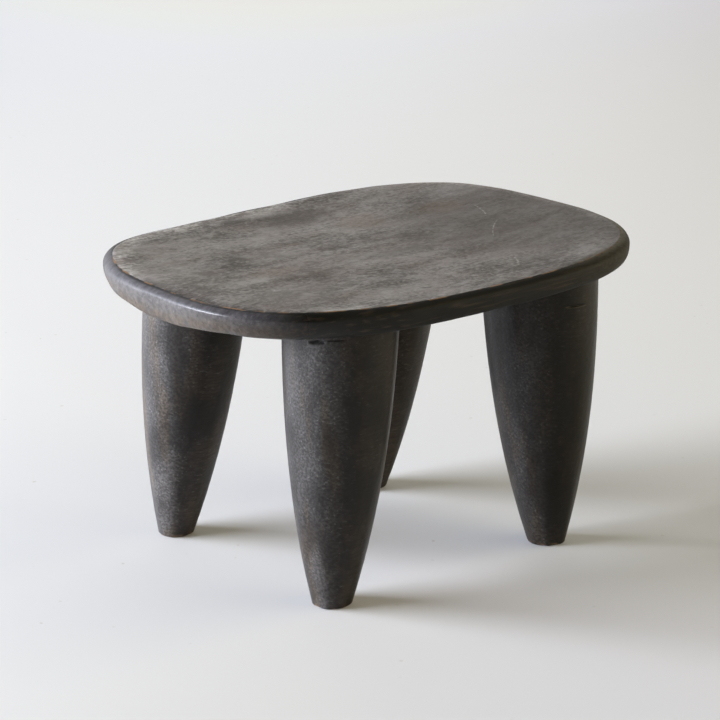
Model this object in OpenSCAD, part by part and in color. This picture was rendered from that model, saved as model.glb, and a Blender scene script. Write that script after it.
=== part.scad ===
// Carved four-legged stool: a rounded seat slab on four tapering legs.
// The origin is on the ground under the middle of the seat, +X along the seat, +Y to its rear side.

/* [Seat] */
// Length of the seat from end to end
seat_l = 560; // [500:1:620]
// Width of the seat across its middle
seat_w = 432; // [390:1:480]
// Thickness of the seat at its two ends
seat_t = 32; // [30.5:0.5:40]
// How square the outline is: 2 is an ellipse, more is squarer
seat_squareness = 3; // [2.6:0.05:4]
// How much wider the outline is towards the right end than at the middle
seat_flare = 14; // [0:1:30]
// How much fuller the outline is at its rear left corner
corner_full = 7.5; // [0:0.5:9]
// Where it is fullest, as an angle round the seat from its right end
corner_angle = 127; // [115:1:140]
// How far the top rises from the middle of its long sides to its two ends
top_rise = 6.5; // [0:0.5:8]
// Depth of the hollow worn into the top, below its edge
dish_depth = 4; // [0:0.5:6]

/* [Rim] */
// Height of the rim's widest line above the underside
rim_belly_h = 20; // [14:0.5:20.5]
// How far the top's edge stands in from the rim's widest line
edge_inset = 11; // [5:0.5:18]
// How much lower the top's edge lies where long use has worn a dip in it
edge_dip = 5; // [0:0.5:6]
// Where the dip is, as an angle round the seat from its right end
edge_dip_angle = 188; // [150:1:230]
// How far the flat underside stands in from the rim's widest line
under_inset = 10; // [5:0.5:14]
// How much lower the rim hangs at the left end
rim_droop = 7; // [0:0.5:8]
// Where it hangs lowest, as an angle round the seat from its right end
rim_droop_angle = 179; // [170:1:190]
// Turn of the rim's upper roll where the top's edge breaks it: 90 has no edge
edge_turn = 68; // [45:1:85]

/* [Legs] */
// Height of the seat's underside above the ground
leg_h = 313; // [260:1:380]
// How far a leg's centre at the shoulder stands in from the seat's end
leg_inset_l = 140; // [120:1:155]
// How far a leg's centre at the shoulder stands in from the seat's long side
leg_inset_w = 95; // [85:1:105]
// Share of a leg's taper that is straight from the shoulder down
taper_straight = 0.22; // [0:0.01:0.6]
// How late the rest of the taper comes: 1 is a cone, more is a fuller leg
taper_power = 2.4; // [1.5:0.1:3.5]
// Width of the worn bevel round each foot
foot_wear = 2.5; // [1:0.5:5]

/* [Front left leg] */
// Diameter at the shoulder
front_left_top_d = 121; // [105:0.5:132]
// Diameter at the ground
front_left_foot_d = 42; // [34:0.5:52]
// How far the foot stands out along the seat from the shoulder
front_left_out_l = 10; // [-40:1:25]
// How far the foot stands out across the seat from the shoulder
front_left_out_w = -7; // [-25:1:40]

/* [Front right leg] */
// Diameter at the shoulder
front_right_top_d = 128; // [105:0.5:132]
// Diameter at the ground
front_right_foot_d = 41.5; // [34:0.5:52]
// How far the foot stands out along the seat from the shoulder
front_right_out_l = 2; // [-40:1:25]
// How far the foot stands out across the seat from the shoulder
front_right_out_w = 14; // [-25:1:40]

/* [Rear left leg] */
// Diameter at the shoulder
rear_left_top_d = 116; // [105:0.5:132]
// Diameter at the ground
rear_left_foot_d = 39.5; // [34:0.5:52]
// How far the foot stands out along the seat from the shoulder
rear_left_out_l = 14; // [-40:1:25]
// How far the foot stands out across the seat from the shoulder
rear_left_out_w = 37; // [-25:1:40]

/* [Rear right leg] */
// Diameter at the shoulder
rear_right_top_d = 124.5; // [105:0.5:132]
// Diameter at the ground
rear_right_foot_d = 41.5; // [34:0.5:52]
// How far the foot stands out along the seat from the shoulder
rear_right_out_l = -35; // [-40:1:25]
// How far the foot stands out across the seat from the shoulder
rear_right_out_w = 7; // [-25:1:40]

/* [Leg roots] */
// Diameter of the round root that holds a leg in the seat
root_d = 60; // [40:0.5:80]
// Length of the root above the leg's shoulder
root_l = 12; // [8:0.5:14]
// Gap all round between a root and its socket
root_gap = 0.2; // [0.1:0.05:0.5]
// Gap between the end of a root and the floor of its socket
root_end_gap = 1; // [0.5:0.25:2]
// Bevel round the end of a root
root_bevel = 1.5; // [0.5:0.25:3]

/* [Hidden] */

// Points round the seat's outline
OUTLINE_STEPS = 144;
// Rings of the underside between its flat middle and the rim, and the flat middle's share of the outline
UNDER_RINGS = 5;
UNDER_FLAT = 0.84;
// Rings in the lower and in the upper part of the rim's roll
LOWER_RINGS = 8;
UPPER_RINGS = 7;
// Rings of the hollowed top, from its edge to the middle
TOP_RINGS = 11;
// Angle from the middle of the worn dip, the full corner and the rim's droop to where each ends
DIP_REACH = 55;
CORNER_REACH = 22;
DROOP_REACH = 31;
// How sharply the worn dip ends inwards from the edge
ROLL_OFF_POWER = 12;
// Steps of a leg's taper
LEG_STEPS = 24;
// Height that a leg's stock runs past each end before it is trimmed
LEG_SPARE = 20;
// Radius gained for each millimetre of height by the cutter that bevels a foot
BEVEL_SLOPE = 1.2;
// Depth that a leg's root and its body share, and that a cutter passes a face
OVERLAP = 2;
ROUND = 96;

// Colours of the worn top and of the blackened legs
TOP_COLOUR = [0.33, 0.31, 0.29];
LEG_COLOUR = [0.17, 0.16, 0.16];

half_l = seat_l / 2;
half_w = seat_w / 2;
top_z = leg_h + seat_t;
belly_z = leg_h + rim_belly_h;

// Centre of each leg at the shoulder, with -1 for the left or front side and 1 for the right or rear
function shoulder(side_l, side_w) = [side_l * (half_l - leg_inset_l), side_w * (half_w - leg_inset_w)];

// Centre of each foot on the ground
function foot(side_l, side_w, out_l, out_w) = shoulder(side_l, side_w) + [side_l * out_l, side_w * out_w];

// A point of the widest outline at an angle of its parameter: a superellipse, flared along its length
function outline(angle) =
    let (reach = pow(pow(abs(cos(angle)), seat_squareness) + pow(abs(sin(angle)), seat_squareness),
                     -1 / seat_squareness),
         along = reach * cos(angle),
         across = reach * sin(angle))
    [half_l * along, half_w * across * (1 + seat_flare / seat_w * along)];

// Unit vector square to the outline, pointing out of the seat
function outward(angle) =
    let (step = outline(angle + 0.5) - outline(angle - 0.5))
    [step.y, -step.x] / norm(step);

// One round wave: 1 at its middle and 0 past its reach
function swell(angle, middle, reach) =
    let (off = abs(angle - middle))
    off < reach ? (1 + cos(180 * off / reach)) / 2 : 0;

// A point at an inset from the widest outline, which is fuller at one corner
function inset_point(angle, inset) =
    outline(angle) + (corner_full * swell(angle, corner_angle, CORNER_REACH) - inset) * outward(angle);

// Height of the top over a place along the seat, with no hollow: lowest at the middle, highest at both ends
function saddle_z(x) = top_z - top_rise * (1 - pow(x / half_l, 2));

// Depth of the worn dip at an angle round the seat
function dip(angle) = edge_dip * swell(angle, edge_dip_angle, DIP_REACH);

// How much lower the rim hangs at an angle round the seat
function droop(angle) = rim_droop * swell(angle, rim_droop_angle, DROOP_REACH);

// The underside: flat where the legs meet it, and down from there to the hanging part of the rim
function under_ring(share) = [for (i = [0:OUTLINE_STEPS - 1])
    let (angle = 360 * i / OUTLINE_STEPS,
         p = (UNDER_FLAT + (1 - UNDER_FLAT) * share) * inset_point(angle, under_inset))
    [p.x, p.y, leg_h - droop(angle) * share * share * (3 - 2 * share)]];

// Lower part of the rim's roll: a quarter of an ellipse from the underside out to the widest line
function lower_ring(turn) = [for (i = [0:OUTLINE_STEPS - 1])
    let (angle = 360 * i / OUTLINE_STEPS, p = inset_point(angle, under_inset * (1 - sin(turn))))
    [p.x, p.y, belly_z - (rim_belly_h + droop(angle)) * cos(turn)]];

// Upper part of the roll: an arc of an ellipse from the widest line in to the top's edge
function upper_ring(turn) = [for (i = [0:OUTLINE_STEPS - 1])
    let (angle = 360 * i / OUTLINE_STEPS,
         share_in = (1 - cos(turn)) / (1 - cos(edge_turn)),
         share_up = sin(turn) / sin(edge_turn),
         p = inset_point(angle, edge_inset * share_in))
    [p.x, p.y, belly_z + (saddle_z(p.x) - dip(angle) - belly_z) * share_up]];

// The hollowed top: the edge drawn in towards the middle, out of its dip and down by the dish's depth
function top_ring(reach) = [for (i = [0:OUTLINE_STEPS - 1])
    let (angle = 360 * i / OUTLINE_STEPS, p = reach * inset_point(angle, edge_inset))
    [p.x, p.y, saddle_z(p.x) - dip(angle) * pow(reach, ROLL_OFF_POWER) - dish_depth * (1 - pow(reach, 4))]];

module seat_slab() {
    rings = concat(
        [for (k = [0:UNDER_RINGS - 1]) under_ring(k / UNDER_RINGS)],
        [for (k = [0:LOWER_RINGS]) lower_ring(90 * k / LOWER_RINGS)],
        [for (k = [1:UPPER_RINGS]) upper_ring(edge_turn * k / UPPER_RINGS)],
        [for (k = [1:TOP_RINGS - 1]) top_ring(sqrt(1 - k / TOP_RINGS))]
    );
    ring_count = len(rings);
    points = concat([for (ring = rings) each ring], [[0, 0, saddle_z(0) - dish_depth]]);
    middle = len(points) - 1;
    underside = [[for (i = [0:OUTLINE_STEPS - 1]) i]];
    walls = [for (k = [0:ring_count - 2], i = [0:OUTLINE_STEPS - 1])
        let (a = k * OUTLINE_STEPS + i,
             b = k * OUTLINE_STEPS + (i + 1) % OUTLINE_STEPS,
             c = b + OUTLINE_STEPS,
             d = a + OUTLINE_STEPS)
        each [[a, c, b], [a, d, c]]];
    crown = [for (i = [0:OUTLINE_STEPS - 1])
        let (first = (ring_count - 1) * OUTLINE_STEPS)
        [first + i, middle, first + (i + 1) % OUTLINE_STEPS]];
    polyhedron(points = points, faces = concat(underside, walls, crown), convexity = 4);
}

// Blind round hole in the underside for one leg's root
module socket(side_l, side_w) {
    place = shoulder(side_l, side_w);
    translate([place.x, place.y, leg_h - OVERLAP])
        cylinder(h = root_l + root_end_gap + OVERLAP, d = root_d + 2 * root_gap, $fn = ROUND);
}

module seat() {
    color(TOP_COLOUR)
        difference() {
            seat_slab();
            for (side_l = [-1, 1], side_w = [-1, 1]) socket(side_l, side_w);
        }
}

// Radius of a leg at a share of the way from its shoulder, 0, to its foot, 1
function leg_radius(share, top_r, foot_r) =
    let (down = max(share, 0))
    foot_r + (top_r - foot_r) * (1 - taper_straight * down - (1 - taper_straight) * pow(down, taper_power));

// A leg's stock: turned about its own axis from the foot's centre up, and longer than the leg at both ends
module leg_stock(axis_l, top_r, foot_r) {
    stock = [for (k = [0:LEG_STEPS])
        let (height = -LEG_SPARE + (axis_l + LEG_SPARE) * k / LEG_STEPS)
        [leg_radius(1 - height / axis_l, top_r, foot_r), height]];
    rotate_extrude($fn = ROUND)
        polygon(concat([[0, -LEG_SPARE]], stock, [[top_r, axis_l + LEG_SPARE], [0, axis_l + LEG_SPARE]]));
}

// A leg leans from its foot to its shoulder, is trimmed level at both, and has a worn bevel round its foot
module leg_body(top_centre, foot_centre, top_r, foot_r) {
    lean = top_centre - foot_centre;
    axis_l = norm([lean.x, lean.y, leg_h]);
    bevel_r = foot_r - foot_wear;
    intersection() {
        translate([foot_centre.x, foot_centre.y, 0])
            rotate([0, acos(leg_h / axis_l), atan2(lean.y, lean.x)])
                leg_stock(axis_l, top_r, foot_r);
        translate([foot_centre.x, foot_centre.y, 0])
            cylinder(h = leg_h, r1 = bevel_r, r2 = bevel_r + BEVEL_SLOPE * leg_h, $fn = ROUND);
    }
}

// Round root that stands upright on a leg's shoulder and seats in the socket
module root(top_centre) {
    straight_l = root_l - root_bevel;
    translate([top_centre.x, top_centre.y, leg_h - OVERLAP])
        cylinder(h = straight_l + OVERLAP, d = root_d, $fn = ROUND);
    translate([top_centre.x, top_centre.y, leg_h + straight_l])
        cylinder(h = root_bevel, d1 = root_d, d2 = root_d - 2 * root_bevel, $fn = ROUND);
}

module leg(side_l, side_w, top_d, foot_d, out_l, out_w) {
    top_centre = shoulder(side_l, side_w);
    color(LEG_COLOUR)
        union() {
            leg_body(top_centre, foot(side_l, side_w, out_l, out_w), top_d / 2, foot_d / 2);
            root(top_centre);
        }
}

module leg_front_left() {
    leg(-1, -1, front_left_top_d, front_left_foot_d, front_left_out_l, front_left_out_w);
}

module leg_front_right() {
    leg(1, -1, front_right_top_d, front_right_foot_d, front_right_out_l, front_right_out_w);
}

module leg_rear_left() {
    leg(-1, 1, rear_left_top_d, rear_left_foot_d, rear_left_out_l, rear_left_out_w);
}

module leg_rear_right() {
    leg(1, 1, rear_right_top_d, rear_right_foot_d, rear_right_out_l, rear_right_out_w);
}

seat();
leg_front_left();
leg_front_right();
leg_rear_left();
leg_rear_right();
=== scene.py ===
"""Looks of a carved four-legged stool: a rounded seat slab with a rolled rim, on four tapering legs.

Lengths are in metres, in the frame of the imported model: the ground at z = 0, +X along the seat. The stool
is one block of wood with its grain along X, so the wood's colour is a solid texture of the pieces' own
coordinates, drawn out along X: it shows end grain on both ends and streaks along the sides and the top.
"""

import math

import bpy
import numpy as np
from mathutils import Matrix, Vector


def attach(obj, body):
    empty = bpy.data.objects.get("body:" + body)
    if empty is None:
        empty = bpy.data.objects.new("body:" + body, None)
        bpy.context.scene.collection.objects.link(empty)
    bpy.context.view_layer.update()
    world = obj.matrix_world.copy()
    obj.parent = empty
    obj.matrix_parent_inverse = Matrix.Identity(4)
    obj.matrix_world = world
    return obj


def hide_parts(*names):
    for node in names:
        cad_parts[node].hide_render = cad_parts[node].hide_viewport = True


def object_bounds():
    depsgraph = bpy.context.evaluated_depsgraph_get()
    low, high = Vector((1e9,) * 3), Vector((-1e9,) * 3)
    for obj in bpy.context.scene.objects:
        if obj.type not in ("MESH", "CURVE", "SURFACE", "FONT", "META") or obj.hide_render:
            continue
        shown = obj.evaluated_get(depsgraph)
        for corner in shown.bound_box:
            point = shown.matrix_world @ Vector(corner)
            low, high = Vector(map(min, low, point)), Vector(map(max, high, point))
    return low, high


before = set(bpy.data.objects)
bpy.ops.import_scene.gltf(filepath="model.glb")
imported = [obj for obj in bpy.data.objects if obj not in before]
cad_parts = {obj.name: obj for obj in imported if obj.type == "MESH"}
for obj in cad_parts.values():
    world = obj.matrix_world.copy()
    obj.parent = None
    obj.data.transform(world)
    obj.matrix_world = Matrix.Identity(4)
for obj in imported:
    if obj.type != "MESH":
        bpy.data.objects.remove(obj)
solid_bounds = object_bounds()

MM = 0.001

# Seat
SEAT_L = 560 * MM
SEAT_W = 432 * MM
SEAT_T = 32 * MM
SQUARENESS = 3.0
FLARE = 14 * MM
TOP_RISE = 6.5 * MM
DISH_DEPTH = 4 * MM
RIM_BELLY_H = 20 * MM
EDGE_INSET = 11 * MM
UNDER_INSET = 10 * MM
UNDER_FLAT = 0.84
ROLL_OFF_POWER = 12
DISH_POWER = 4
EDGE_TURN = math.radians(68)

# Round waves along the outline: height, and in degrees the angle of the middle and from there to the end
CORNER_FULL = (7.5 * MM, 127, 22)
EDGE_DIP = (5 * MM, 188, 55)
RIM_DROOP = (7 * MM, 179, 31)

# Legs
LEG_H = 313 * MM
LEG_INSET_L = 140 * MM
LEG_INSET_W = 95 * MM
TAPER_STRAIGHT = 0.22
TAPER_POWER = 2.4
FOOT_WEAR = 2.5 * MM
ROOT_D = 60 * MM
ROOT_L = 12 * MM
ROOT_BEVEL = 1.5 * MM
MARK_BAND = 35 * MM

# Each leg's sides along and across the seat, its diameters, how far its foot stands out, and a seed
LEGS = {
    "leg_front_left": dict(side=(-1, -1), top_d=121 * MM, foot_d=42 * MM, out=(10 * MM, -7 * MM), seed=20),
    "leg_front_right": dict(side=(1, -1), top_d=128 * MM, foot_d=41.5 * MM, out=(2 * MM, 14 * MM), seed=30),
    "leg_rear_left": dict(side=(-1, 1), top_d=116 * MM, foot_d=39.5 * MM, out=(14 * MM, 37 * MM), seed=40),
    "leg_rear_right": dict(side=(1, 1), top_d=124.5 * MM, foot_d=41.5 * MM, out=(-35 * MM, 7 * MM), seed=50),
}

# What each leg's colour is multiplied by
PALENESS = {"leg_front_left": 0.98, "leg_front_right": 0.54, "leg_rear_left": 1.32, "leg_rear_right": 1.1}

# Gouges and drying checks: place, length round the leg, width and depth, with angle and tilt in degrees
GOUGES = {
    "leg_front_left": [
        dict(angle=-153, z=303 * MM, length=15 * MM, width=3.2 * MM, depth=6.5 * MM, tilt=6),
        dict(angle=-135, z=306 * MM, length=16 * MM, width=1.2 * MM, depth=1.6 * MM, tilt=4),
    ],
    "leg_front_right": [
        dict(angle=-96, z=284.5 * MM, length=23 * MM, width=1.6 * MM, depth=2.4 * MM, tilt=-3),
    ],
}

# Handwork: how far the surface lies inside the solid's, how deep it is worked, and the waves' lengths
SKIN = 0.25 * MM
LEG_SKIN = 0.05 * MM
OUTLINE_WOBBLE, WOBBLE_WAVE = 0.35 * MM, 110 * MM
TOP_RELIEF, TOP_WAVE, TOP_RIPPLE_WAVE = 0.30 * MM, 55 * MM, 14 * MM
TOP_RIPPLE_SHARE = 0.25
RIM_RELIEF, RIM_WAVE = 0.22 * MM, 30 * MM
ADZE_RELIEF, ADZE_WAVE = 0.55 * MM, 30 * MM
NICK_DEPTH, NICK_WAVE, NICK_REACH, NICK_LIMIT = 0.9 * MM, 8.5 * MM, 1.8 * MM, 1.2
FLAT_DEPTH, FLAT_WAVE, RIPPLE_WAVE = 0.30 * MM, 36 * MM, 10 * MM
RIPPLE_SHARE = 0.08
WEAR_WAVE, LEAST_WEAR, MOST_WEAR = 60 * MM, 1.2 * MM, 5 * MM
WEAR_SPREAD = 0.5
EDGE_CALM = 5 * MM
LEG_CALM = 12 * MM
ADZE_LIMIT = 1.1
NICKS_ELSEWHERE = 0.2

# What places are multiplied by along X, Y and Z before they meet those waves: less than 1 draws them out
TOP_DRAWN = (0.45, 1, 1)
TOP_RIPPLE_DRAWN = (0.35, 1, 1)
RIM_DRAWN = (0.6, 0.6, 1)
ADZE_DRAWN = (0.5, 1, 1)
FLAT_DRAWN = (1, 1, 0.12)

# How far out the seat's first ring lies, and how much closer its top's rings lie towards the crest
UNDER_START = 0.06
TOP_CROWDING = 1.5

# Camera
CAMERA_AZIMUTH = math.radians(-40.23)
CAMERA_ELEVATION = math.radians(18.41)
CAMERA_DISTANCE = 2.8047
CAMERA_YAW = math.radians(0.22)
CAMERA_PITCH = math.radians(-0.696)
CAMERA_ROLL = math.radians(-0.474)
CAMERA_LENS_MM = 127.5
CAMERA_AIM_H = 172.5 * MM


def back_vector(azimuth, elevation):
    """Unit vector from the stool to a viewer: azimuth 0 looks along +Y, elevation is above the ground."""
    return np.array([
        math.sin(azimuth) * math.cos(elevation),
        -math.cos(azimuth) * math.cos(elevation),
        math.sin(elevation),
    ])


def relief(points, wavelength, seed, waves=36):
    """Smooth random relief of unit spread: a sum of sine waves in seeded directions.

    Each wave's number is 2 pi over a length between 0.7 and 1.6 wavelengths.
    """
    rng = np.random.default_rng(seed)
    directions = rng.normal(size=(waves, 3))
    directions /= np.linalg.norm(directions, axis=1, keepdims=True)
    numbers = directions * (2 * math.pi / (wavelength * rng.uniform(0.7, 1.6, (waves, 1))))
    phases = rng.uniform(0, 2 * math.pi, waves)
    return np.sin(points @ numbers.T + phases).sum(-1) * math.sqrt(2 / waves)


def outline(angle):
    """Widest outline of the seat: a superellipse of the angle, flared along its length."""
    c, s = np.cos(angle), np.sin(angle)
    reach = (np.abs(c) ** SQUARENESS + np.abs(s) ** SQUARENESS) ** (-1 / SQUARENESS)
    along, across = reach * c, reach * s
    return np.stack([
        SEAT_L / 2 * along,
        SEAT_W / 2 * across * (1 + FLARE / SEAT_W * along),
    ], -1)


def outward(angle):
    """Unit vector square to the outline, by the difference of two near points."""
    step = outline(angle + 0.005) - outline(angle - 0.005)
    across = np.stack([step[..., 1], -step[..., 0]], -1)
    return across / np.linalg.norm(across, axis=-1, keepdims=True)


def saddle_height(x):
    """Height of the top with no hollow: lowest at the middle of the long sides, highest at both ends."""
    return LEG_H + SEAT_T - TOP_RISE * (1 - (x / (SEAT_L / 2)) ** 2)


def swell(angle, height, middle, reach):
    """One round wave, a raised cosine: its height at its middle angle and nothing past its reach."""
    off = np.minimum(np.abs(np.degrees(angle) - middle) / reach, 1)
    return height * (1 + np.cos(math.pi * off)) / 2


def ring_normals(rings):
    """Unit normals of a grid of rings: the cross product of the steps along a ring and across the rings."""
    along = np.roll(rings, -1, axis=1) - np.roll(rings, 1, axis=1)
    across = np.gradient(rings, axis=0)
    normal = np.cross(along, across)
    return normal / np.maximum(np.linalg.norm(normal, axis=-1, keepdims=True), 1e-12)


def eased(rings, first, last, passes):
    """Round the corner between two rows: each pass takes a row halfway to the mean of its two neighbours."""
    rings = rings.copy()
    for _ in range(passes):
        neighbours = rings[first - 1:last - 1] + rings[first + 1:last + 1]
        rings[first:last] = rings[first:last] / 2 + neighbours / 4
    return rings


def add_mesh(name, rings, bottom, top, traits):
    """Closed surface through rings of points, with a pole at each end and named values at its points.

    Ring k's point i joins ring k + 1's point i in quads, and each pole closes its ring with triangles.
    """
    ring_count, ring_size = rings.shape[:2]
    points = np.concatenate([rings.reshape(-1, 3), [bottom, top]])
    k, i = np.meshgrid(np.arange(ring_count - 1), np.arange(ring_size), indexing="ij")
    a = k * ring_size + i
    b = k * ring_size + (i + 1) % ring_size
    quads = np.stack([a, b, b + ring_size, a + ring_size], -1).reshape(-1, 4)
    first = np.arange(ring_size)
    after = (first + 1) % ring_size
    last = (ring_count - 1) * ring_size
    low_pole = np.full(ring_size, len(points) - 2)
    high_pole = np.full(ring_size, len(points) - 1)
    fans = np.concatenate([
        np.stack([after, first, low_pole], -1),
        np.stack([last + first, last + after, high_pole], -1),
    ])
    corners = np.concatenate([quads.ravel(), fans.ravel()])
    sizes = np.concatenate([np.full(len(quads), 4), np.full(len(fans), 3)])
    mesh = bpy.data.meshes.new(name)
    mesh.vertices.add(len(points))
    mesh.vertices.foreach_set("co", points.astype(np.float32).ravel())
    mesh.loops.add(len(corners))
    mesh.loops.foreach_set("vertex_index", corners.astype(np.int32))
    mesh.polygons.add(len(sizes))
    starts = np.concatenate([[0], np.cumsum(sizes)[:-1]])
    mesh.polygons.foreach_set("loop_start", starts.astype(np.int32))
    mesh.update(calc_edges=True)
    mesh.validate()
    mesh.polygons.foreach_set("use_smooth", np.ones(len(sizes), bool))
    for trait, values in traits.items():
        kept = mesh.attributes.new(trait, "FLOAT", "POINT")
        poles = [values[0].mean(), values[-1].mean()]
        kept.data.foreach_set("value", np.concatenate([values.ravel(), poles]).astype(np.float32))
    piece = bpy.data.objects.new(name, mesh)
    bpy.context.scene.collection.objects.link(piece)
    return piece


def seat_rings(steps=600, under_rows=52, lower_rows=22, upper_rows=22, top_rows=62):
    """Rings of the seat from the middle of its underside, over the rim's roll, to the middle of its top.

    Each part is a curve of the share of its way: smoothstep where the lower edge hangs, a quarter ellipse
    below the belly and one above it, and a power of the reach that falls from the crest into the hollow.
    """
    angle = np.linspace(0, 2 * math.pi, steps, endpoint=False)
    normal = outward(angle)
    dip, droop = swell(angle, *EDGE_DIP), swell(angle, *RIM_DROOP)
    circle = np.column_stack([np.cos(angle), np.sin(angle), np.zeros(steps)])
    wobble = OUTLINE_WOBBLE * relief(circle * SEAT_L / 2, WOBBLE_WAVE, seed=3)
    edge = outline(angle) + (swell(angle, *CORNER_FULL) + wobble)[:, None] * normal
    belly_z = LEG_H + RIM_BELLY_H
    rings = []
    for reach in np.linspace(UNDER_START, 1, under_rows, endpoint=False):
        share = max(0, (reach - UNDER_FLAT) / (1 - UNDER_FLAT))
        fall = droop * share * share * (3 - 2 * share)
        rings.append(np.column_stack([reach * (edge - UNDER_INSET * normal), LEG_H - fall]))
    for turn in np.linspace(0, math.pi / 2, lower_rows):
        flat = edge - UNDER_INSET * (1 - math.sin(turn)) * normal
        rings.append(np.column_stack([flat, belly_z - (RIM_BELLY_H + droop) * math.cos(turn)]))
    for turn in EDGE_TURN * np.linspace(0, 1, upper_rows)[1:]:
        share_in = (1 - math.cos(turn)) / (1 - math.cos(EDGE_TURN))
        share_up = math.sin(turn) / math.sin(EDGE_TURN)
        flat = edge - EDGE_INSET * share_in * normal
        upper_h = saddle_height(flat[:, 0]) - dip - belly_z
        rings.append(np.column_stack([flat, belly_z + upper_h * share_up]))
    crest_row = len(rings) - 1
    for reach in 1 - np.linspace(0, 1, top_rows + 1)[1:-1] ** TOP_CROWDING:
        flat = reach * (edge - EDGE_INSET * normal)
        fall = dip * reach ** ROLL_OFF_POWER + DISH_DEPTH * (1 - reach ** DISH_POWER)
        rings.append(np.column_stack([flat, saddle_height(flat[:, 0]) - fall]))
    rings = eased(np.array(rings), under_rows - 2, under_rows + 3, passes=2)
    return eased(rings, crest_row - 3, crest_row + 4, passes=4), under_rows, crest_row


def carved_seat():
    """The seat's rings with a hand-worked surface, and each point's ways from the two edges and end grain.

    A point moves along its normal by sums of sine waves: long and shallow on the top, short on the rim, and
    gouged on the underside clear of the legs. Where one more sum rises above a limit, the edge is nicked.
    """
    rings, under_row, crest_row = seat_rings()
    normals = ring_normals(rings)
    row = np.arange(len(rings))[:, None]
    step = np.linalg.norm(np.diff(rings, axis=0), axis=-1)
    travelled = np.concatenate([np.zeros((1, rings.shape[1])), np.cumsum(step, axis=0)])
    edge_way = travelled[crest_row] - travelled
    low_way = travelled - travelled[under_row]
    long_waves = relief(rings * TOP_DRAWN, TOP_WAVE, seed=5)
    ripples = relief(rings * TOP_RIPPLE_DRAWN, TOP_RIPPLE_WAVE, seed=6)
    worked = TOP_RELIEF * (long_waves + TOP_RIPPLE_SHARE * ripples)
    rolled = RIM_RELIEF * relief(rings * RIM_DRAWN, RIM_WAVE, seed=7)
    clear = np.ones(rings.shape[:2])
    for shape in LEGS.values():
        away = np.linalg.norm(rings[..., :2] - shoulder_place(shape["side"]), axis=-1) - shape["top_d"] / 2
        clear *= np.clip(away / LEG_CALM, 0, 1)
    hollows = np.maximum(ADZE_LIMIT - np.abs(relief(rings * ADZE_DRAWN, ADZE_WAVE, seed=8)), 0)
    gouged = -ADZE_RELIEF * clear * hollows
    amount = np.where(row > crest_row, worked, np.where(row < under_row, gouged, rolled))
    amount *= np.clip(np.abs(edge_way) / EDGE_CALM, 0, 1)
    amount -= np.where(row < under_row, 0, SKIN)
    worn_end = np.clip(-rings[..., 0] / (SEAT_L / 2), NICKS_ELSEWHERE, 1)
    nick = np.clip(relief(rings, NICK_WAVE, seed=9) - NICK_LIMIT, 0, 1)
    amount -= NICK_DEPTH * nick * worn_end * np.exp(-(edge_way / NICK_REACH) ** 2)
    level = normals[..., :2] / np.maximum(np.linalg.norm(normals[..., :2], axis=-1, keepdims=True), 1e-9)
    traits = {"edge_way": edge_way, "low_way": low_way, "end_grain": np.abs(level[..., 0])}
    return rings + normals * amount[..., None], traits


def make_seat():
    """The seat's mesh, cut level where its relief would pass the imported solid's box."""
    rings, traits = carved_seat()
    low, high = np.array(solid_bounds)
    rings = np.clip(rings, low, high)
    bottom = (0, 0, rings[0, :, 2].mean())
    top = (0, 0, rings[-1, :, 2].mean())
    return add_mesh("seat_wood", rings, bottom, top, traits)


def shoulder_place(side):
    """Where a leg's axis meets the seat's underside."""
    return np.array([side[0] * (SEAT_L / 2 - LEG_INSET_L), side[1] * (SEAT_W / 2 - LEG_INSET_W)])


def leg_radius(share, top_r, foot_r):
    """Radius at a share of the way from the shoulder, 0, to the foot, 1: part straight, part a power."""
    fall = TAPER_STRAIGHT * share + (1 - TAPER_STRAIGHT) * share ** TAPER_POWER
    return foot_r + (top_r - foot_r) * (1 - fall)


def gouge_depth(angle, z, top_d, marks):
    """Depth of wood taken away: each mark is a bell across its width, flat-topped along its length."""
    turn = 2 * math.pi
    depth = np.zeros(z.shape)
    for mark in marks:
        round_way = (angle - math.radians(mark["angle"]) + turn / 2) % turn - turn / 2
        along = round_way * top_d / 2
        across = z - mark["z"] - math.tan(math.radians(mark["tilt"])) * along
        end_fall = (2 * along / mark["length"]) ** 4
        depth += mark["depth"] * np.exp(-end_fall - (2 * across / mark["width"]) ** 2)
    return depth


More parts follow.
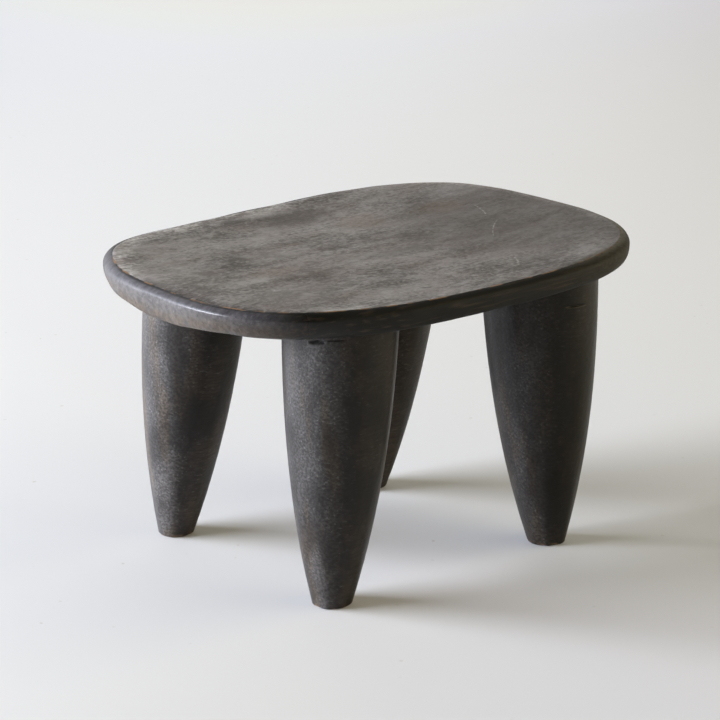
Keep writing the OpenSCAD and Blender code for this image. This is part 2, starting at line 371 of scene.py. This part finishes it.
def leg_rings(side, top_d, foot_d, out, seed, marks, steps=252, foot_rows=8, rows=190, close_rows=56):
    """Level rings of a leg, from the middle of its foot over its worn bevel and up the taper to its root.

    The radius gets long upright flats left by the adze and short waves, both sums of sine waves over the
    unrolled surface, and loses the marks' depth. The bevel's size varies round the foot in the same way.
    """
    shoulder = shoulder_place(side)
    foot = shoulder + np.array(side) * np.array(out)
    angle = np.linspace(0, 2 * math.pi, steps, endpoint=False)
    circle = np.column_stack([np.cos(angle), np.sin(angle)])
    unrolled = np.column_stack([circle * top_d / 2, np.zeros(steps)])
    wear = FOOT_WEAR * (1 + WEAR_SPREAD * relief(unrolled, WEAR_WAVE, seed=seed))
    wear = np.clip(wear, LEAST_WEAR, MOST_WEAR)

    share_up = np.concatenate([
        np.linspace(0, 1 - MARK_BAND / LEG_H, rows)[:-1],
        np.linspace(1 - MARK_BAND / LEG_H, 1, close_rows),
    ])[:, None]
    z = wear + share_up * (LEG_H - wear)
    place = unrolled + np.stack([0 * z, 0 * z, z], -1)
    flats = FLAT_DEPTH * relief(place * FLAT_DRAWN, FLAT_WAVE, seed=seed + 1)
    ripples = RIPPLE_SHARE * FLAT_DEPTH * relief(place, RIPPLE_WAVE, seed=seed + 2)
    share_down = np.maximum(1 - z / LEG_H, 0)
    radius = leg_radius(share_down, top_d / 2, foot_d / 2) + flats + ripples - LEG_SKIN
    radius -= gouge_depth(angle, z, top_d, marks)

    turn = np.linspace(0, math.pi / 2, foot_rows)[:-1, None]
    foot_edge = radius[0] - wear * (1 - np.sin(turn))
    sole = np.array([0.3, 0.7, 0.95])[:, None] * foot_edge[0]
    root_radius = np.array([ROOT_D / 2, ROOT_D / 2, ROOT_D / 2 - ROOT_BEVEL, ROOT_D / 6])[:, None]
    root_z = LEG_H + np.array([0, ROOT_L - ROOT_BEVEL, ROOT_L, ROOT_L])[:, None]
    radius = np.concatenate([sole, foot_edge, radius, np.tile(root_radius, steps)])
    z = np.concatenate([0 * sole, wear * (1 - np.cos(turn)), z, np.tile(root_z, steps)])
    centre = foot + (shoulder - foot) * np.minimum(z / LEG_H, 1)[..., None]
    return np.concatenate([centre + radius[..., None] * circle, z[..., None]], -1), foot, shoulder


def make_leg(node, shape):
    """A leg's mesh, with how much each point faces along the grain and how pale the whole leg is."""
    rings, foot, shoulder = leg_rings(**shape, marks=GOUGES.get(node, ()))
    angle = np.linspace(0, 2 * math.pi, rings.shape[1], endpoint=False)
    traits = {
        "end_grain": np.tile(np.abs(np.cos(angle)), (len(rings), 1)),
        "pale": np.full(rings.shape[:2], PALENESS[node]),
    }
    return add_mesh(node.replace("leg", "wood_leg"), rings, (*foot, 0), (*shoulder, LEG_H + ROOT_L), traits)


# The Mix node's numbered sockets for colours: its share, its two colours and its result
MIX_SHARE, MIX_FIRST, MIX_SECOND, MIX_RESULT = 0, 6, 7, 2

# The level of the patches on the seat's top, and how far they reach up and down, in millimetres
PATCH_LEVEL, PATCH_TALL = 340, 400


class Recipe:
    """A procedural material in the making: every method adds a shader node and gives back its output."""

    def __init__(self, name):
        """A new material with its shader, which reads the coordinates of the piece that it is on."""
        self.material = bpy.data.materials.new(name)
        self.material.use_nodes = True
        self.tree = self.material.node_tree
        self.shader = self.tree.nodes["Principled BSDF"]
        self.place = self.add("ShaderNodeTexCoord", "Object")

    def join(self, socket, value):
        """Link another node's output to a socket, or set the socket to a number or a colour."""
        if isinstance(value, bpy.types.NodeSocket):
            self.tree.links.new(value, socket)
        elif isinstance(value, tuple) and len(value) == 3 and socket.type == "RGBA":
            socket.default_value = (*value, 1)
        else:
            socket.default_value = value

    def add(self, kind, output, inputs=None, **settings):
        """A new node with its inputs and settings, given back as the output named or numbered."""
        node = self.tree.nodes.new(kind)
        for setting, value in settings.items():
            setattr(node, setting, value)
        for socket, value in (inputs or {}).items():
            self.join(node.inputs[socket], value)
        return node.outputs[output]

    def math(self, operation, a, b=0.0):
        """One step of arithmetic with one or two values."""
        return self.add("ShaderNodeMath", 0, {0: a, 1: b}, operation=operation)

    def scaled(self, lengths, shift=(0, 0, 0)):
        """The piece's own coordinates from a shift on, counted in lengths given in millimetres."""
        start, unit = (tuple(part * MM for part in sizes) for sizes in (shift, lengths))
        moved = self.add("ShaderNodeVectorMath", 0, {0: self.place, 1: start}, operation="SUBTRACT")
        return self.add("ShaderNodeVectorMath", 0, {0: moved, 1: unit}, operation="DIVIDE")

    def noise(self, lengths, detail=2.0, shift=(0, 0, 0), distortion=0.0, rough=0.5):
        """Noise from 0 to 1 whose waves have the given lengths in millimetres along X, Y and Z."""
        return self.add("ShaderNodeTexNoise", "Fac", {
            "Vector": self.scaled(lengths, shift), "Scale": 1.0, "Detail": detail, "Distortion": distortion,
            "Roughness": rough,
        })

    def lines(self, lengths, width, shift=(0, 0, 0)):
        """Thin wandering lines where a noise crosses its middle value."""
        off = self.math("ABSOLUTE", self.math("SUBTRACT", self.noise(lengths, 3, shift), 0.5))
        return self.ramp(off, width, 0.0)

    def dots(self, lengths, shift=(0, 0, 0), space="3D"):
        """Distance to the nearest of scattered points, in lengths given in millimetres."""
        return self.add("ShaderNodeTexVoronoi", "Distance", {
            "Vector": self.scaled(lengths, shift), "Scale": 1.0,
        }, voronoi_dimensions=space)

    def attribute(self, name):
        """One of the named values that a mesh has at its points."""
        return self.add("ShaderNodeAttribute", "Fac", attribute_name=name)

    def ramp(self, value, start, end):
        """A smooth step from 0 where the value is at the start to 1 where it is at the end."""
        low, high, at_low, at_high = (start, end, 0.0, 1.0) if start < end else (end, start, 1.0, 0.0)
        return self.add("ShaderNodeMapRange", "Result", {
            "Value": value, "From Min": low, "From Max": high, "To Min": at_low, "To Max": at_high,
        }, interpolation_type="SMOOTHSTEP")

    def along(self, *direction):
        """How far the point lies in a direction, in metres."""
        inputs = {0: self.place, 1: direction}
        return self.add("ShaderNodeVectorMath", "Value", inputs, operation="DOT_PRODUCT")

    def between(self, value, low, high):
        """The value, held between two limits."""
        return self.math("MINIMUM", self.math("MAXIMUM", value, low), high)

    def total(self, *parts):
        """The sum of values, each given with its weight."""
        amount = 0.0
        for weight, value in parts:
            amount = self.math("ADD", amount, self.math("MULTIPLY", value, weight))
        return amount

    def blend(self, share, first, second):
        """A value that goes from the first to the second as the share goes from 0 to 1."""
        change = self.math("MULTIPLY", share, self.math("SUBTRACT", second, first))
        return self.total((1.0, first), (1.0, change))

    def both(self, *shares):
        """The product of several shares."""
        product = shares[0]
        for share in shares[1:]:
            product = self.math("MULTIPLY", product, share)
        return product

    def mix(self, share, first, second, blend="MIX"):
        """The first colour, gone over to the second as the share goes from 0 to 1."""
        return self.add("ShaderNodeMix", MIX_RESULT, {
            MIX_SHARE: share, MIX_FIRST: first, MIX_SECOND: second,
        }, data_type="RGBA", blend_type=blend)

    def over(self, base, colour, *shares):
        """The base with a colour laid over it, as strongly as the product of the shares."""
        return self.mix(self.both(*shares), base, colour)

    def tinted(self, base, factors, *shares):
        """The base times a colour, as strongly as the product of the shares."""
        return self.mix(self.both(*shares), base, factors, "MULTIPLY")

    def patch(self, x, y, long, wide):
        """A soft round patch on the seat: 1 at a place in millimetres, 0 past its long and wide reach."""
        off = self.scaled((long, wide, PATCH_TALL), (x, y, PATCH_LEVEL))
        return self.ramp(self.add("ShaderNodeVectorMath", "Value", {0: off}, operation="LENGTH"), 1.0, 0.25)

    def scratch(self, x, y, heading, length, width, bow):
        """A thin bowed mark on the seat's top, by its middle, heading in degrees and sizes in millimetres."""
        turned = self.add("ShaderNodeMapping", "Vector", {
            "Vector": self.place,
            "Location": (x * MM, y * MM, 0.0),
            "Rotation": (0.0, 0.0, math.radians(heading)),
        }, vector_type="TEXTURE")
        parts = self.tree.nodes.new("ShaderNodeSeparateXYZ")
        self.join(parts.inputs[0], turned)
        along = self.math("DIVIDE", parts.outputs[0], length * MM / 2)
        bowed = self.math("MULTIPLY", self.math("POWER", self.math("ABSOLUTE", along), 2.0), bow * MM)
        off = self.math("ABSOLUTE", self.math("SUBTRACT", parts.outputs[1], bowed))
        return self.both(self.ramp(off, width * MM, 0.0), self.ramp(self.math("ABSOLUTE", along), 1.0, 0.6))

    def finish(self, colour, roughness, height, depth, shine=0.5):
        """Wire up the shader: colour, roughness, a bump with its depth in metres, and how much it shines."""
        self.shader.inputs["Specular IOR Level"].default_value = shine
        self.join(self.shader.inputs["Base Color"], colour)
        self.join(self.shader.inputs["Roughness"], roughness)
        self.join(self.shader.inputs["Normal"], self.add("ShaderNodeBump", "Normal", {
            "Strength": 1.0, "Distance": depth, "Height": height,
        }))
        return self.material


# Marks on the top, in millimetres along and across the seat. A patch has its place and its two reaches, and a
# scratch or crack its place, heading in degrees, length, width and bow.
# The third dark patch, wide over the right end, is painted shade
DARK_PATCHES = [(5, 150, 60, 42), (35, 152, 75, 30), (215, 0, 180, 200), (-150, 55, 16, 9), (20, -30, 70, 22)]
LIGHT_PATCHES = [
    (-185, -95, 75, 45),
    (-80, -150, 80, 30),
    (0, 190, 34, 16),
    (8, 186, 60, 18),
    (-90, 45, 60, 30),
    (-235, 50, 70, 80),
    (-207, 160, 50, 50),
    (235, 115, 65, 45),
]
BROWN_PATCHES = [(172, 77, 46, 34), (68, 95, 44, 40), (-48, 67, 16, 8), (-140, -10, 50, 26)]
# A wide patch of painted shade that darkens the top's right end
RIGHT_END_PAINTED_SHADE_PATCH = (205, -35, 250, 240)
WORN_TIP_PATCH = (-255, 105, 50, 60)
SCRATCHES = [
    (194, 29, 64, 52, 1.4, 3),
    (153, -33, 44, 70, 1.4, -3),
    (85, -143, 58, 44, 2.0, 3),
    (-6, -133, 98, 36, 1.3, 2),
    (-120, 95, 113, 48, 1.2, -3),
    (-84, 49, 8, 26, 1.8, 2),
]
CRACKS = [
    (12, -44, -73, 15, 2.6, 1),
    (19, -61, -59, 12, 2.0, -1),
    (-78, -138, -33, 10, 2.4, 1),
    (-57, -159, -31, 15, 2.6, 2),
    (68, -25, -27, 18, 2.2, -2),
    (-56, -71, -8, 21, 2.2, 1),
    (-126, 0, -25, 16, 2.0, -1),
]

# Colours of the top
TOP_DARK, TOP_LIGHT = (0.080, 0.0705, 0.063), (0.302, 0.283, 0.269)
MAUVE = (0.215, 0.170, 0.158)
SCUFF_PALE = (0.345, 0.330, 0.316)
HAIR_PALE = (0.40, 0.385, 0.365)
HAIR_DARK = (0.045, 0.038, 0.032)
# Colour of the painted shade over the top's right end
RIGHT_END_PAINTED_SHADE = (0.112, 0.099, 0.089)
PATCH_DARK, PATCH_LIGHT, PATCH_BROWN = (0.085, 0.074, 0.065), (0.37, 0.355, 0.34), (0.21, 0.140, 0.100)
SCRATCH_PALE = (0.42, 0.40, 0.375)
CRACK_DARK = (0.050, 0.043, 0.038)
PORE_DARK = (0.035, 0.030, 0.027)

# What the top's colour is multiplied by at its crest, by the part of the outline. Along the far edges it is
# made lighter as a painted sheen.
FAR_LEFT_PAINTED_SHEEN = (2.75, 2.85, 3.0)
FAR_RIGHT_PAINTED_SHEEN = (1.8, 1.8, 1.75)
NEAR_RIGHT_SHADE = (0.66, 0.65, 0.63)
NEAR_LEFT_WEAR = (1.35, 1.35, 1.35)
LEFT_END_SHADE = (0.42, 0.40, 0.39)

# Colours of the rim: the long sides, the ends' grain, the right end, and the two edges
SIDE_BLACK, SIDE_BROWN = (0.006, 0.006, 0.006), (0.028, 0.020, 0.014)
GRAIN_DARK, GRAIN_LIGHT = (0.080, 0.074, 0.072), (0.128, 0.117, 0.110)
PIT_LIGHT, PIT_DARK = (0.24, 0.222, 0.20), (0.040, 0.036, 0.035)
# The first of these tints the ends' upper roll blue as a painted cool sheen
UPPER_PAINTED_COOL_SHEEN, LOWER_WARM, NEAR_END_DIM = (0.94, 0.98, 1.10), (1.07, 0.94, 0.78), (0.72, 0.71, 0.72)
UPPER_BLACK = (0.024, 0.024, 0.026)
OLIVE_DARK, OLIVE_LIGHT = (0.017, 0.0155, 0.012), (0.036, 0.032, 0.0245)
WORN_OLIVE = (0.150, 0.140, 0.118)
LIP_TAN = (0.20, 0.150, 0.105)
UNDER_BLACK = (0.035, 0.030, 0.027)
CREST_TAN, CREST_BROWN = (0.27, 0.155, 0.080), (0.10, 0.072, 0.048)

SEAT_BUMP, SEAT_SHINE = 0.35 * MM, 0.30

# Colours of the legs: along the grain and, paler, across it
LEG_LONG_DARK, LEG_LONG_LIGHT = (0.0095, 0.0086, 0.0084), (0.024, 0.020, 0.0185)
LEG_END_DARK, LEG_END_LIGHT = (0.040, 0.0375, 0.0370), (0.088, 0.084, 0.083)
LEG_BROWN_TINT = (1.25, 1.06, 0.84)
LEG_FIBRE_BLACK = (0.008, 0.007, 0.006)
LEG_SPECK = (0.16, 0.155, 0.153)
# Painted bounce light: how much lighter the legs' lower parts are made, as if lit from the floor
LEG_LOW_PAINTED_BOUNCE = (1.9, 1.85, 1.85)
FOOT_TAN = (0.16, 0.105, 0.07)
LEG_BUMP, LEG_SHINE = 0.22 * MM, 0.22


class SeatWood(Recipe):
    """Blackened wood, worn to warm grey on the top, with a satin rim, end grain on both ends, a tan edge."""

    def __init__(self):
        """What several parts share: ways from the two edges, shares of the top and the ends, and noises."""
        super().__init__("worn_seat")
        self.way, self.low_way = self.attribute("edge_way"), self.attribute("low_way")
        self.x, self.y = self.along(1, 0, 0), self.along(0, 1, 0)
        self.on_top = self.ramp(self.way, 0.9 * MM, -0.4 * MM)
        self.ends = self.ramp(self.attribute("end_grain"), 0.54, 0.975)
        self.right_end = self.ramp(self.x, 60 * MM, 230 * MM)
        self.streak = self.noise((50, 13, 13), 4, distortion=0.8)
        self.fibre = self.noise((9, 5, 5), 6, rough=0.72)
        self.grit = self.noise((4.0, 4.0, 4.0), 3)
        self.scuff = self.ramp(self.noise((24, 20, 20), 8, shift=(300, 0, 0)), 0.52, 0.68)
        self.mottle = self.noise((90, 70, 70), 4)
        pits = self.ramp(self.dots((22, 6, 6)), 0.17, 0.07)
        self.pores = self.both(pits, self.ramp(self.mottle, 0.60, 0.45))

    def by_crest(self, reach):
        """1 on the top beside the crest, falling to 0 at a reach in millimetres from it."""
        return self.ramp(self.way, -reach * MM, -1 * MM)

    def bare_top(self):
        """The top's mottled grain, with scuffs and fine pale and dark hairlines."""
        tone = self.total((0.32, self.mottle), (0.18, self.streak), (0.29, self.fibre), (0.21, self.grit))
        top = self.mix(self.ramp(tone, 0.395, 0.605), TOP_DARK, TOP_LIGHT)
        mauve = self.ramp(self.noise((70, 40, 40), 4, shift=(0, 500, 0)), 0.42, 0.62)
        top = self.over(top, MAUVE, mauve, 0.30)
        top = self.over(top, SCUFF_PALE, self.scuff, 0.42)
        pale_lines = self.lines((34, 22, 22), 0.022, (0, 0, 200))
        top = self.over(top, HAIR_PALE, pale_lines, self.ramp(self.grit, 0.42, 0.58), 0.30)
        dark_lines = self.lines((46, 18, 18), 0.016, (0, 0, 700))
        return self.over(top, HAIR_DARK, dark_lines, self.ramp(self.fibre, 0.56, 0.44), 0.40)

    def crest_wear_sheen_and_shade(self, top):
        """The top with a painted sheen that lightens its far edge, and paler or darker along its near one by
        the part of it.
        """
        far_side = self.ramp(self.y, 20 * MM, 110 * MM)
        not_right = self.ramp(self.x, 130 * MM, -30 * MM)
        broken = self.ramp(self.fibre, 0.15, 0.50)
        # Painted sheen: the far left edge is made lighter, as if it reflected the room behind
        top = self.tinted(top, FAR_LEFT_PAINTED_SHEEN, far_side, self.by_crest(30), not_right, broken)
        far_end = self.ramp(self.along(0.65, 0.76, 0), 60 * MM, 110 * MM)
        far_right = self.both(far_end, self.ramp(self.x, 190 * MM, 240 * MM))
        # Painted sheen: the far right edge is made lighter in the same way
        top = self.tinted(top, FAR_RIGHT_PAINTED_SHEEN, self.by_crest(12), far_right)
        near = self.both(self.by_crest(24), self.ramp(self.y, -95 * MM, -140 * MM))
        top = self.tinted(top, NEAR_RIGHT_SHADE, near, self.ramp(self.x, -90 * MM, 10 * MM))
        top = self.tinted(top, NEAR_LEFT_WEAR, near, self.ramp(self.x, -90 * MM, -140 * MM))
        left_end = self.both(self.ramp(self.x, -175 * MM, -215 * MM), self.ramp(self.y, 80 * MM, 30 * MM))
        uneven = self.ramp(self.fibre, 0.75, 0.45)
        return self.tinted(top, LEFT_END_SHADE, left_end, self.by_crest(15), uneven)

    def marked(self, top):
        """The top with a painted shade over its right end, and its patches, scratches, cracks and pores."""
        # Painted shade: the right end of the top made darker
        top = self.over(top, RIGHT_END_PAINTED_SHADE, self.patch(*RIGHT_END_PAINTED_SHADE_PATCH), 0.46)
        for places, colour, weight in (
            (DARK_PATCHES, PATCH_DARK, 0.42),
            (LIGHT_PATCHES, PATCH_LIGHT, 0.24),
            (BROWN_PATCHES, PATCH_BROWN, 0.24),
        ):
            for place in places:
                top = self.over(top, colour, self.patch(*place), weight)
        for mark in SCRATCHES:
            top = self.over(top, SCRATCH_PALE, self.scratch(*mark), self.ramp(self.grit, 0.36, 0.54), 0.55)
        for mark in CRACKS:
            top = self.over(top, CRACK_DARK, self.scratch(*mark), 0.55)
        return self.over(top, PORE_DARK, self.pores, 0.6)

    def end_grain(self, pits):
        """The pitted grey of the rim's ends: a painted cool sheen above, warm below, black under the crest.
        """
        grain = self.noise((30, 6.0, 6.5), 5, shift=(0, 0, 80))
        grey = self.mix(self.ramp(grain, 0.30, 0.70), GRAIN_DARK, GRAIN_LIGHT)
        grey = self.over(grey, PIT_LIGHT, self.ramp(pits, 0.56, 0.72), 0.35)
        grey = self.over(grey, PIT_DARK, self.ramp(pits, 0.46, 0.34), 0.35)
        # Painted sheen: the upper roll tinted cool, as if it reflected the sky
        grey = self.tinted(grey, UPPER_PAINTED_COOL_SHEEN, self.ramp(self.way, 20 * MM, 9 * MM))
        stained = self.ramp(self.noise((40, 16, 12), 4, shift=(0, 0, 300)), 0.32, 0.56)
        grey = self.tinted(grey, LOWER_WARM, self.ramp(self.low_way, 26 * MM, 12 * MM), stained)
        grey = self.tinted(grey, NEAR_END_DIM, self.ramp(self.y, -35 * MM, -115 * MM))
        upper = self.both(self.ramp(self.way, 5.5 * MM, 2.5 * MM), self.ramp(self.y, 120 * MM, 70 * MM))
        return self.over(grey, UPPER_BLACK, upper, 0.85)

    def rim_colour(self):
        """Black long sides with brown streaks, grey ends, an olive right end and a chipped tan lower edge."""
        brown_streak = self.ramp(self.noise((60, 5, 3), 4, shift=(0, 90, 0)), 0.50, 0.72)
        side = self.mix(brown_streak, SIDE_BLACK, SIDE_BROWN)
        pits = self.noise((8, 3.2, 3.2), 4, shift=(0, 30, 0))
        rim = self.mix(self.ends, side, self.end_grain(pits))
        olive = self.mix(self.ramp(pits, 0.35, 0.65), OLIVE_DARK, OLIVE_LIGHT)
        rim = self.over(rim, olive, self.right_end, 0.9)
        spread = self.ramp(self.way, 10 * MM, 0)
        rim = self.over(rim, WORN_OLIVE, self.right_end, spread, self.ramp(self.fibre, 0.20, 0.55))
        chipped = self.ramp(self.noise((22, 22, 8), 5, shift=(0, 0, 50)), 0.46, 0.58)
        lip = self.ramp(self.low_way, 2.4 * MM, 0.6 * MM)
        rim = self.over(rim, LIP_TAN, lip, chipped, self.ends, self.ramp(self.x, 0, -100 * MM))
        return self.over(rim, UNDER_BLACK, self.ramp(self.low_way, 0.4 * MM, -0.6 * MM))

    def tan_crest(self, colour):
        """The colour with the crest's line, where its blackening has worn off."""
        crest = self.both(self.ramp(self.way, -1.2 * MM, 0.0), self.ramp(self.way, 2.2 * MM, 0.9 * MM))
        uneven = self.noise((20, 20, 20), 6, shift=(70, 0, 0))
        worn_off = self.total((1.0, uneven), (0.12, self.patch(*WORN_TIP_PATCH)))
        bare = self.ramp(worn_off, 0.48, 0.60)
        tan = self.mix(self.right_end, CREST_TAN, CREST_BROWN)
        return self.over(colour, tan, crest, bare, self.ramp(self.y, 140 * MM, 115 * MM))

    def roughness(self):
        """Dull on the top, the crest and most of the rim, and satin on its left end, drier at the back."""
        dull = self.total((0.20, self.streak), (0.62, 1.0))
        satin = self.total((0.12, self.noise((30, 12, 12), 3)), (0.12, 1.0))
        satin = self.total((1.0, satin), (0.36, self.ramp(self.y, -85 * MM, -15 * MM)))
        matt_crest = self.ramp(self.way, 3.0 * MM, 1.2 * MM)
        matt_side = self.ramp(self.x, -240 * MM, -160 * MM)
        matt = self.math("MINIMUM", self.total((1.0, matt_crest), (1.0, matt_side)), 1.0)
        return self.blend(matt, satin, dull)

    def bumps(self):
        """The top's fibres, streaks, grit and scuffs stand out and its pores lie in; the rim has a third."""
        bumps = self.total(
            (0.5, self.fibre), (0.3, self.streak), (0.3, self.grit), (0.35, self.scuff), (-0.5, self.pores),
        )
        return self.both(bumps, self.blend(self.on_top, 0.35, 1.0))


def worn_seat():
    """The seat's material."""
    wood = SeatWood()
    top = wood.marked(wood.crest_wear_sheen_and_shade(wood.bare_top()))
    colour = wood.tan_crest(wood.mix(wood.on_top, wood.rim_colour(), top))
    return wood.finish(colour, wood.roughness(), wood.bumps(), SEAT_BUMP, SEAT_SHINE)


def blackened_leg():
    """Charcoal wood with brown upright tints, fine level grain, pale pores in the end grain, and painted
    bounce light towards the feet.
    """
    wood = Recipe("blackened_leg")
    z = wood.along(0, 0, 1)
    fibre = wood.noise((22, 2.6, 2.6), 4)
    cloud = wood.noise((30, 30, 60), 4)
    pits = wood.noise((6, 2.4, 2.4), 3, shift=(0, 60, 0))
    ends = wood.ramp(wood.attribute("end_grain"), 0.42, 1.0)
    dark = wood.mix(ends, LEG_LONG_DARK, LEG_END_DARK)
    light = wood.mix(ends, LEG_LONG_LIGHT, LEG_END_LIGHT)
    base = wood.mix(wood.ramp(cloud, 0.34, 0.66), dark, light)
    brown = wood.ramp(wood.noise((17, 17, 130), 4, shift=(40, 0, 0)), 0.44, 0.62)
    base = wood.tinted(base, LEG_BROWN_TINT, brown, 0.8)
    base = wood.mix(wood.ramp(fibre, 0.34, 0.68), wood.over(base, LEG_FIBRE_BLACK, 0.6), base)
    speck = wood.both(wood.ramp(pits, 0.56, 0.74), wood.ramp(cloud, 0.32, 0.60))
    base = wood.over(base, LEG_SPECK, speck, wood.blend(ends, 0.16, 0.75))
    # Painted bounce light: lighter towards the feet
    base = wood.tinted(base, LEG_LOW_PAINTED_BOUNCE, wood.ramp(z, 150 * MM, 20 * MM), 0.4)
    base = wood.tinted(base, wood.attribute("pale"), 1.0)
    foot = wood.both(wood.ramp(z, 5 * MM, 1 * MM), wood.ramp(wood.noise((9, 9, 9), 4), 0.50, 0.62))
    base = wood.over(base, FOOT_TAN, foot)
    rough = wood.total((0.25, cloud), (0.30, 1.0))
    bumps = wood.total((0.8, fibre), (0.5, pits))
    return wood.finish(base, rough, bumps, LEG_BUMP, LEG_SHINE)


# The floor's glow, for the camera alone: its colour beside the stool, what it gains by the metres away from
# the camera and by their square, what it gains by the metres to the right, and what it loses by their square.
# The gain to the right fades with the way off, to nothing at the turning point, and past it is on the left.
GLOW_HERE = (-0.006, 0.0, 0.016)
GLOW_GAIN = (0.051, 0.048, 0.030)
GLOW_CURVE = (0.0065, 0.0085, 0.018)
GLOW_ON_RIGHT = (0.055, 0.068, 0.078)
GLOW_SIDE_LOSS = (-0.110, -0.120, -0.123)
GLOW_TURNS_AT = 1.8
GLOW_LIMIT = 0.26

# How far the glow goes on changing, in metres to the right and away
GLOW_WIDTH, GLOW_DEPTH = (-1.1, 1.1), (-0.5, 3.6)

FLOOR_HALF = 30.0
FLOOR_DARK, FLOOR_LIGHT, SMUDGE = (0.79, 0.79, 0.79), (0.81, 0.81, 0.81), (0.55, 0.50, 0.42)


def pale_floor():
    """Matt pale paint that brightens away from the camera, as it does below the lit backdrop of a studio.

    Each colour of the glow is a sum of the ways right and away and their squares, held between 0 and a limit.
    It is for camera rays only, so it lights nothing.
    """
    paint = Recipe("floor_paint")
    cloud = paint.noise((900, 900, 900), 3)
    c, s = math.cos(CAMERA_AZIMUTH), math.sin(CAMERA_AZIMUTH)
    right = paint.between(paint.along(c, s, 0), *GLOW_WIDTH)
    away = paint.between(paint.along(-s, c, 0), *GLOW_DEPTH)
    turning = paint.both(right, paint.total((1.0, 1.0), (-1 / GLOW_TURNS_AT, away)))
    ways = (1.0, away, paint.both(away, away), turning, paint.both(right, right))
    glow = paint.tree.nodes.new("ShaderNodeCombineColor")
    colours = zip(glow.inputs, GLOW_HERE, GLOW_GAIN, GLOW_CURVE, GLOW_ON_RIGHT, GLOW_SIDE_LOSS)
    for socket, *weights in colours:
        amount = paint.total(*zip(weights, ways))
        paint.join(socket, paint.between(amount, 0.0, GLOW_LIMIT))
    paint.join(paint.shader.inputs["Emission Color"], glow.outputs[0])
    paint.join(paint.shader.inputs["Emission Strength"], paint.add("ShaderNodeLightPath", "Is Camera Ray"))
    dots = paint.dots((75, 75, 75), space="2D")
    smudge = paint.ramp(paint.total((1.0, dots), (0.10, paint.noise((6, 6, 6), 3))), 0.085, 0.055)
    walked_on = paint.ramp(paint.noise((160, 160, 160), 2), 0.52, 0.62)
    colour = paint.over(paint.mix(cloud, FLOOR_DARK, FLOOR_LIGHT), SMUDGE, smudge, walked_on, 0.45)
    return paint.finish(colour, 0.8, cloud, 0.0)


def add_camera():
    """The photograph's view: on the line back from the aim point, turned by small yaw, pitch and roll."""
    aim = np.array([0, 0, CAMERA_AIM_H])
    place = aim + back_vector(CAMERA_AZIMUTH, CAMERA_ELEVATION) * CAMERA_DISTANCE
    azimuth = CAMERA_AZIMUTH + CAMERA_YAW
    back = back_vector(azimuth, CAMERA_ELEVATION + CAMERA_PITCH)
    right = np.array([math.cos(azimuth), math.sin(azimuth), 0])
    up = np.cross(back, right)
    rolled_right = right * math.cos(CAMERA_ROLL) + up * math.sin(CAMERA_ROLL)
    rolled_up = up * math.cos(CAMERA_ROLL) - right * math.sin(CAMERA_ROLL)
    camera = bpy.data.objects.new("camera", bpy.data.cameras.new("camera"))
    camera.data.lens = CAMERA_LENS_MM
    turned = np.eye(4)
    turned[:3, 0], turned[:3, 1], turned[:3, 2], turned[:3, 3] = rolled_right, rolled_up, back, place
    camera.matrix_world = turned.T
    bpy.context.scene.collection.objects.link(camera)
    bpy.context.scene.camera = camera


def add_floor():
    """One level square, far wider than the picture."""
    corners = [(x * FLOOR_HALF, y * FLOOR_HALF, 0) for x, y in ((-1, -1), (1, -1), (1, 1), (-1, 1))]
    mesh = bpy.data.meshes.new("floor")
    mesh.from_pydata(corners, [], [(0, 1, 2, 3)])
    floor = bpy.data.objects.new("floor", mesh)
    bpy.context.scene.collection.objects.link(floor)
    mesh.materials.append(pale_floor())


def add_light(name, azimuth, elevation, distance, size, power, colour):
    """A soft rectangular lamp that faces the stool from a direction given in degrees."""
    lamp = bpy.data.lights.new(name, "AREA")
    lamp.shape = "RECTANGLE"
    lamp.size, lamp.size_y = size
    lamp.energy = power
    lamp.color = colour
    placed = bpy.data.objects.new(name, lamp)
    back = back_vector(math.radians(azimuth), math.radians(elevation))
    right = np.array([math.cos(math.radians(azimuth)), math.sin(math.radians(azimuth)), 0])
    turned = np.eye(4)
    turned[:3, 0], turned[:3, 1], turned[:3, 2] = right, np.cross(back, right), back
    turned[:3, 3] = back * distance + np.array([0, 0, CAMERA_AIM_H])
    placed.matrix_world = turned.T
    bpy.context.scene.collection.objects.link(placed)


def add_world(colour, strength):
    """The room's even light from all around."""
    world = bpy.data.worlds.new("room")
    world.use_nodes = True
    world.node_tree.nodes["Background"].inputs["Color"].default_value = (*colour, 1)
    world.node_tree.nodes["Background"].inputs["Strength"].default_value = strength
    bpy.context.scene.world = world


DAYLIGHT = (0.868, 0.902, 1.0)
SKYLIGHT = (0.76, 0.83, 1.0)
PALE_WALL = (1.0, 0.99, 0.98)
BOUNCED = (1.0, 0.875, 0.60)

# Each lamp's name, azimuth and elevation in degrees, distance and size in metres, power and colour
LAMPS = [
    ("window_low", -127, 13, 4.5, (3.2, 1.8), 508, DAYLIGHT),
    ("window_high", -136, 34, 4.8, (2.6, 0.9), 48, SKYLIGHT),
    ("wall_behind", 148, 11, 9.0, (14, 4.2), 300, PALE_WALL),
    ("wall_right", 50, 14, 5.0, (6.0, 3.4), 190, BOUNCED),
]
ROOM_COLOUR, ROOM_STRENGTH = (1.0, 0.91, 0.56), 0.13

add_camera()
add_floor()
for lamp in LAMPS:
    add_light(*lamp)
add_world(ROOM_COLOUR, ROOM_STRENGTH)
bpy.context.scene.view_settings.view_transform = "Standard"

seat = make_seat()
seat.data.materials.append(worn_seat())
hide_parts("seat")
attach(seat, "root")
leg_finish = blackened_leg()
for node, shape in LEGS.items():
    leg = make_leg(node, shape)
    leg.data.materials.append(leg_finish)
    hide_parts(node)
    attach(leg, "root")
